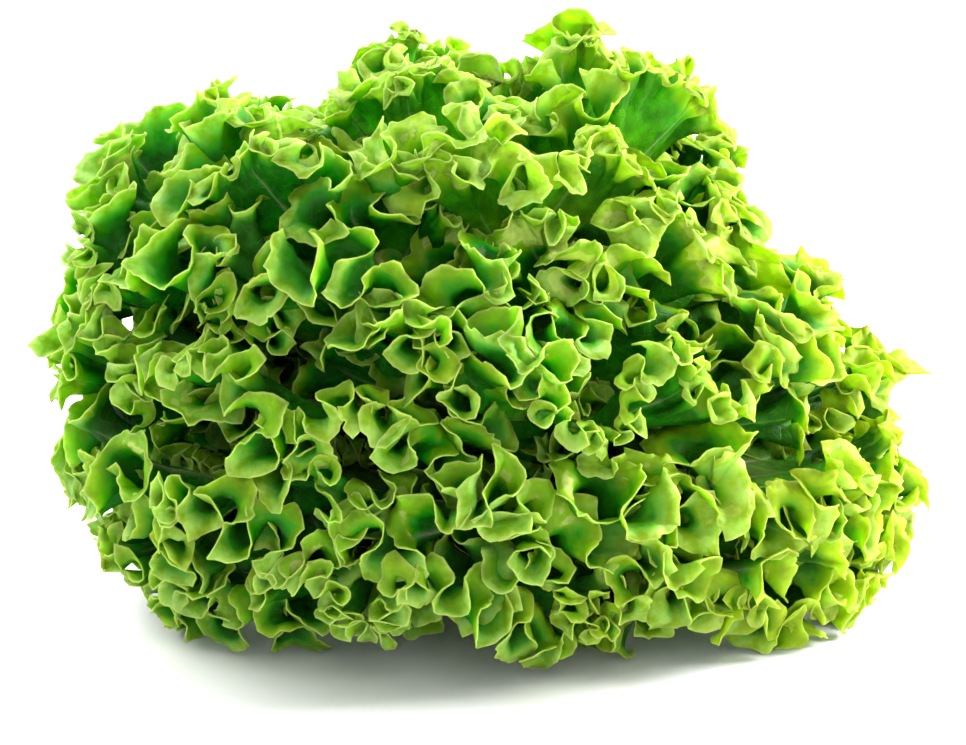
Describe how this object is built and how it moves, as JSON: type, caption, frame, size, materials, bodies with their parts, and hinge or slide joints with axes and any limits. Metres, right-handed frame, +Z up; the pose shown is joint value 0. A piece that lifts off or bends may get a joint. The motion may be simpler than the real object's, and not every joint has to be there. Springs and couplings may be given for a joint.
{
  "type": "head of leaf lettuce",
  "caption": "Loose head of green leaf lettuce with frilled leaves round a short cut stem, standing upright on the stem's cut face.",
  "frame": {"origin": "centre of the stem's cut face, on the surface that the head stands on", "axes": "+Z up along the stem; +X along the head's widest way; -Y towards the side that was pictured"},
  "size_m": [0.2833, 0.2296, 0.18],
  "materials": {
    "stem": "matt pale green-white stem flesh, latex-stained at the cut",
    "outer_leaf": "semi-gloss mid green leaf, translucent, with pale yellow-green rim",
    "inner_leaf": "semi-gloss yellow-green leaf, translucent, with pale rim",
    "heart_leaf": "semi-gloss pale yellow-green young leaf, translucent"
  },
  "bodies": {
    "root": {"stem": "stem", "outer_leaf_01": "outer_leaf", "outer_leaf_02": "outer_leaf", "outer_leaf_03": "outer_leaf", "outer_leaf_04": "outer_leaf", "outer_leaf_05": "outer_leaf", "outer_leaf_06": "outer_leaf", "outer_leaf_07": "outer_leaf", "outer_leaf_08": "outer_leaf", "outer_leaf_09": "outer_leaf", "outer_leaf_10": "outer_leaf", "outer_leaf_11": "outer_leaf", "outer_leaf_12": "outer_leaf", "outer_leaf_13": "outer_leaf", "inner_leaf_01": "inner_leaf", "inner_leaf_02": "inner_leaf", "inner_leaf_03": "inner_leaf", "inner_leaf_04": "inner_leaf", "inner_leaf_05": "inner_leaf", "inner_leaf_06": "inner_leaf", "inner_leaf_07": "inner_leaf", "inner_leaf_08": "inner_leaf", "inner_leaf_09": "inner_leaf", "inner_leaf_10": "inner_leaf", "inner_leaf_11": "inner_leaf", "inner_leaf_12": "inner_leaf", "inner_leaf_13": "inner_leaf", "inner_leaf_14": "inner_leaf", "inner_leaf_15": "inner_leaf", "inner_leaf_16": "inner_leaf", "inner_leaf_17": "inner_leaf", "inner_leaf_18": "inner_leaf", "inner_leaf_19": "inner_leaf", "heart_leaf_01": "heart_leaf", "heart_leaf_02": "heart_leaf", "heart_leaf_03": "heart_leaf", "heart_leaf_04": "heart_leaf", "heart_leaf_05": "heart_leaf", "heart_leaf_06": "heart_leaf", "heart_leaf_07": "heart_leaf", "heart_leaf_08": "heart_leaf"}
  },
  "joints": []
}
